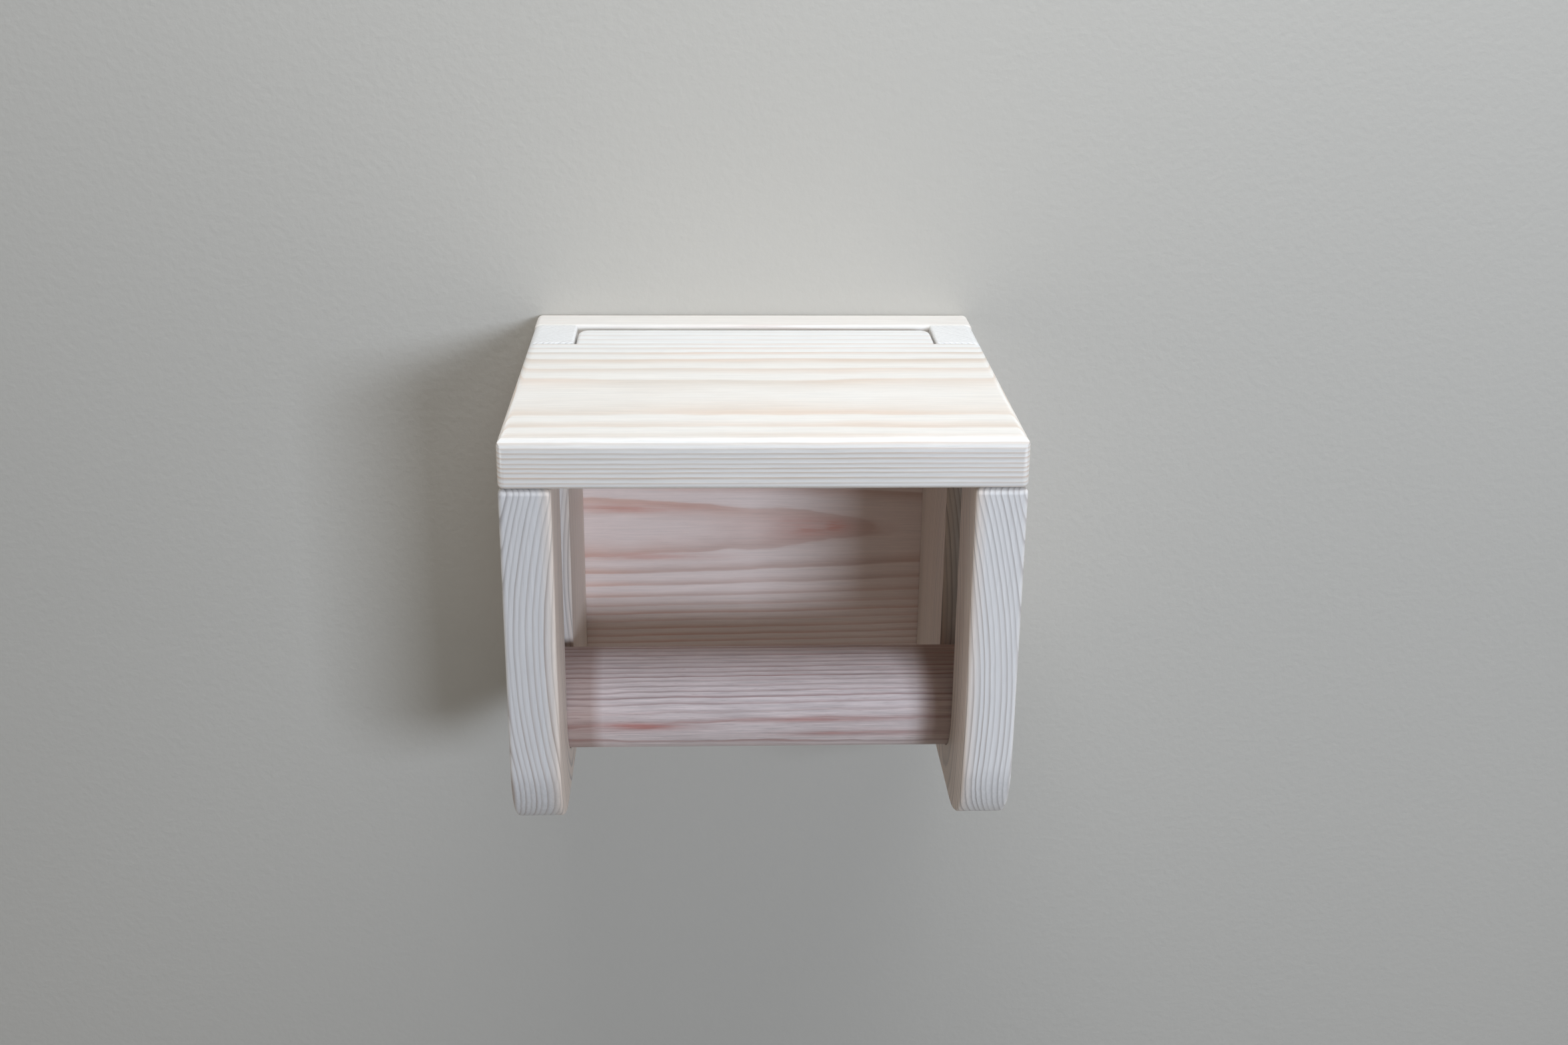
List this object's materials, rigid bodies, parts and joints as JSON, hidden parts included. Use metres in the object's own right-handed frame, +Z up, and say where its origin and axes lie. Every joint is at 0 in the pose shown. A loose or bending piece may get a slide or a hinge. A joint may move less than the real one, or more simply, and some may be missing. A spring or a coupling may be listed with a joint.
{
  "type": "toilet paper holder",
  "caption": "Wall-hung wooden toilet paper holder with a hinged lid over a loose round bar that drops into slots in two side panels.",
  "frame": {"origin": "centre of the back panel's rear face, the face that rests on the wall", "axes": "+X to the right of a person facing the holder, +Y into the wall, +Z up"},
  "size_m": [0.15, 0.14, 0.129],
  "materials": {
    "lid_pine": "pale washed pine, satin",
    "side_pine": "pale washed pine, satin",
    "back_pine": "pale washed pine with peach latewood, satin",
    "bar_pine": "pale washed pine dowel, satin",
    "steel": "zinc plated, satin"
  },
  "bodies": {
    "holder": {"back_panel": "back_pine", "side_panel_left": "side_pine", "side_panel_right": "side_pine", "hinge_pin_left": "steel", "panel_screw_left_top": "steel", "panel_screw_left_middle": "steel", "panel_screw_left_bottom": "steel", "hanger_plate_left": "steel", "hanger_screw_left_upper": "steel", "hanger_screw_left_lower": "steel", "hinge_pin_right": "steel", "panel_screw_right_top": "steel", "panel_screw_right_middle": "steel", "panel_screw_right_bottom": "steel", "hanger_plate_right": "steel", "hanger_screw_right_upper": "steel", "hanger_screw_right_lower": "steel"},
    "lid": {"lid": "lid_pine"},
    "bar": {"roll_bar": "bar_pine"}
  },
  "joints": [
    {"name": "lid_hinge", "type": "hinge", "parent": "holder", "child": "lid", "pos_m": [0, -0.0295, 0.059], "axis": [-1, 0, 0], "range_deg": [0, 100]},
    {"name": "bar_lift", "type": "slide", "parent": "holder", "child": "bar", "axis": [0, 0, 1], "range_m": [0, 0.068]}
  ]
}
